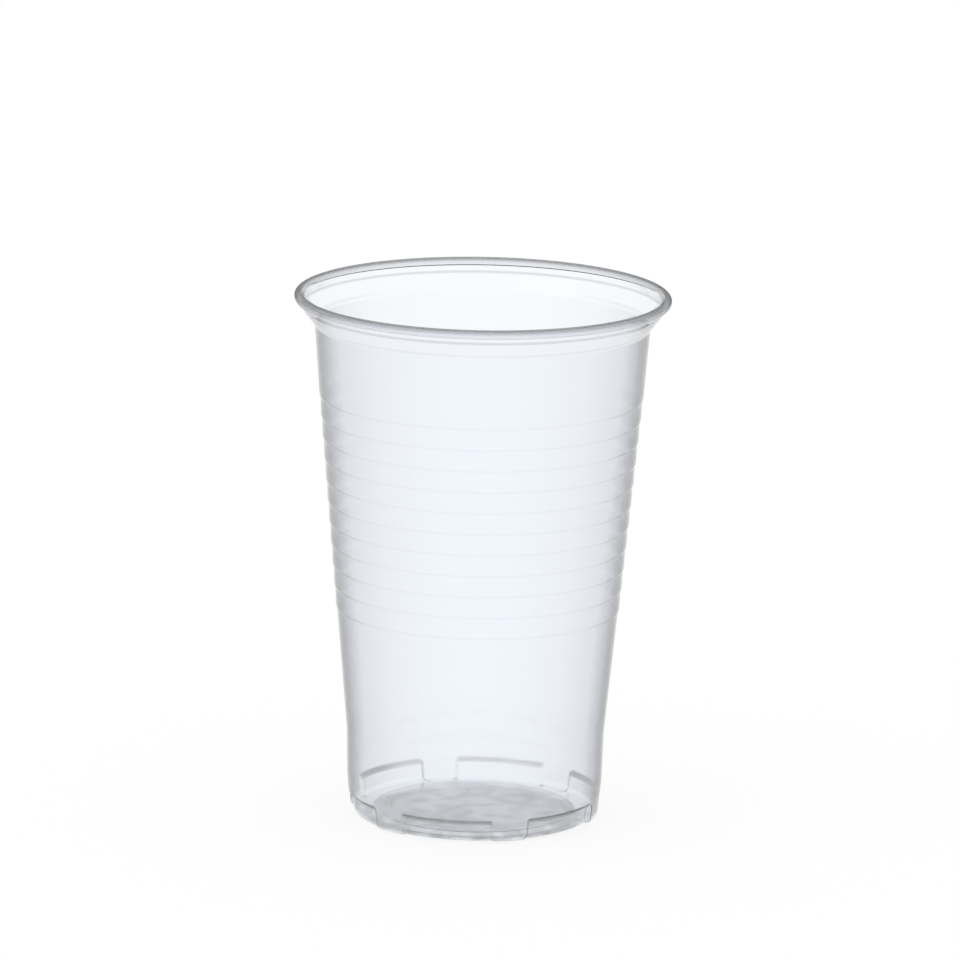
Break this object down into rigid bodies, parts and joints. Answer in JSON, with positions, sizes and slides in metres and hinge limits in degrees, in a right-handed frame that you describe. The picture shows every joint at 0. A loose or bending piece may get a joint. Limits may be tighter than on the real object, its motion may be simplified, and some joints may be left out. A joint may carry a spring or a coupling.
{
  "type": "plastic disposable cup",
  "caption": "Clear thin-walled disposable drinking cup with a rolled rim over a flared neck, ribbed tapered wall, stacking pockets round the foot and a raised base.",
  "frame": {"origin": "centre of the standing ring, on the surface that the cup stands on", "axes": "+Z along the cup's axis, from the base to the rim; -Y towards the picture's camera"},
  "size_m": [0.0704, 0.0704, 0.0998],
  "materials": {
    "clear_plastic": "clear, faintly hazy polypropylene"
  },
  "bodies": {
    "root": {"cup": "clear_plastic"}
  },
  "joints": []
}
